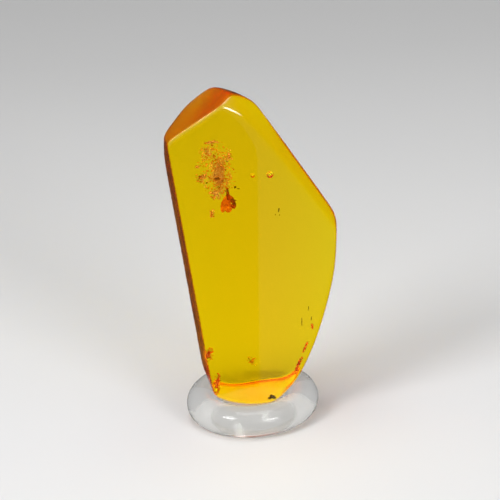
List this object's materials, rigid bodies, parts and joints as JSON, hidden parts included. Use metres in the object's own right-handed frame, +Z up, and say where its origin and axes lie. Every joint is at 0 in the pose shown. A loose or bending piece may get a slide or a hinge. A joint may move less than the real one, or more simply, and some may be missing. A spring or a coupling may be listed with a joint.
{
  "type": "amber specimen with an insect in a display ring",
  "caption": "Polished slab of see-through golden amber with an insect sealed inside, standing on its foot in a clear round display ring.",
  "frame": {"origin": "middle of the whole piece's outline seen from above, on the surface that the ring stands on", "axes": "+Z up, the broad polished face of the amber towards -Y, the straight narrow side towards -X"},
  "size_m": [0.0186, 0.015, 0.0398],
  "materials": {
    "amber": "polished see-through golden amber with small natural inclusions",
    "insect": "orange-brown insect body and folded wings",
    "ring": "clear soft plastic with a smooth surface"
  },
  "bodies": {
    "root": {"amber_front": "amber", "amber_back": "amber", "insect": "insect", "ring": "ring"}
  },
  "joints": []
}
